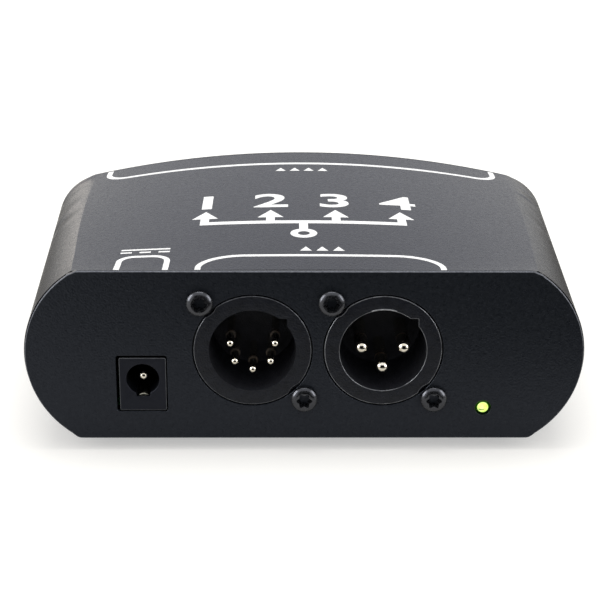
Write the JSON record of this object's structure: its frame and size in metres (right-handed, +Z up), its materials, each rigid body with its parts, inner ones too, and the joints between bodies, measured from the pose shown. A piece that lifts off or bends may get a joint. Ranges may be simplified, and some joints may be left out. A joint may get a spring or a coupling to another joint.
{
  "type": "dmx splitter",
  "caption": "Small black steel case with a crowned top and rounded sides, lighting-control inputs and a power jack in front, latched outputs behind, on rubber feet.",
  "frame": {"origin": "bottom centre of the part's box, on the surface that the feet stand on", "axes": "+X to the right seen from the front, +Y from the inputs at the front to the outputs at the rear, +Z up"},
  "size_m": [0.1168, 0.0832, 0.0371],
  "materials": {
    "cover_powder_coat": "fine textured satin black powder coat",
    "plate_powder_coat": "fine textured satin black powder coat",
    "receptacle_black": "satin black zinc die casting",
    "contact_silver": "polished silver plate",
    "insulator_black": "moulded glass-filled nylon",
    "latch_black": "moulded acetal",
    "screw_black": "black zinc plate",
    "status_green": "clear tinted epoxy, lit",
    "board_laminate": "solder mask on glass-epoxy laminate",
    "component_epoxy": "moulded black epoxy",
    "capacitor_sleeve": "shrunk sleeve",
    "foot_rubber": "moulded black rubber"
  },
  "bodies": {
    "case": {"top_cover": "cover_powder_coat", "base_plate": "cover_powder_coat", "front_plate": "plate_powder_coat", "rear_plate": "plate_powder_coat", "input_5pin_shell": "receptacle_black", "input_3pin_shell": "receptacle_black", "output_1_shell": "receptacle_black", "output_2_shell": "receptacle_black", "output_3_shell": "receptacle_black", "output_4_shell": "receptacle_black", "input_5pin_pin_1": "contact_silver", "input_5pin_pin_2": "contact_silver", "input_5pin_pin_3": "contact_silver", "input_5pin_pin_4": "contact_silver", "input_5pin_pin_5": "contact_silver", "input_3pin_pin_1": "contact_silver", "input_3pin_pin_2": "contact_silver", "input_3pin_pin_3": "contact_silver", "power_jack_pin": "contact_silver", "power_jack_leaf": "contact_silver", "output_1_insert": "insulator_black", "output_2_insert": "insulator_black", "output_3_insert": "insulator_black", "output_4_insert": "insulator_black", "power_jack_body": "insulator_black", "front_screw_1": "screw_black", "front_screw_2": "screw_black", "front_screw_3": "screw_black", "front_screw_4": "screw_black", "rear_screw_1": "screw_black", "rear_screw_2": "screw_black", "rear_screw_3": "screw_black", "rear_screw_4": "screw_black", "rear_screw_5": "screw_black", "rear_screw_6": "screw_black", "rear_screw_7": "screw_black", "rear_screw_8": "screw_black", "base_screw_1": "screw_black", "base_screw_2": "screw_black", "base_screw_3": "screw_black", "base_screw_4": "screw_black", "status_light": "status_green", "circuit_board": "board_laminate", "isolating_converter_1": "component_epoxy", "isolating_converter_2": "component_epoxy", "isolating_converter_3": "component_epoxy", "isolating_converter_4": "component_epoxy", "line_driver_1": "component_epoxy", "line_driver_2": "component_epoxy", "line_driver_3": "component_epoxy", "line_driver_4": "component_epoxy", "supply_capacitor": "capacitor_sleeve", "foot_1": "foot_rubber", "foot_2": "foot_rubber", "foot_3": "foot_rubber", "foot_4": "foot_rubber"},
    "latch_1": {"output_1_latch": "latch_black"},
    "latch_2": {"output_2_latch": "latch_black"},
    "latch_3": {"output_3_latch": "latch_black"},
    "latch_4": {"output_4_latch": "latch_black"}
  },
  "joints": [
    {"name": "latch_1_press", "type": "slide", "parent": "case", "child": "latch_1", "axis": [0, -1, 0], "range_m": [0, 0.0015], "stiffness_N_per_m": 400},
    {"name": "latch_2_press", "type": "slide", "parent": "case", "child": "latch_2", "axis": [0, -1, 0], "range_m": [0, 0.0015], "stiffness_N_per_m": 400},
    {"name": "latch_3_press", "type": "slide", "parent": "case", "child": "latch_3", "axis": [0, -1, 0], "range_m": [0, 0.0015], "stiffness_N_per_m": 400},
    {"name": "latch_4_press", "type": "slide", "parent": "case", "child": "latch_4", "axis": [0, -1, 0], "range_m": [0, 0.0015], "stiffness_N_per_m": 400}
  ]
}
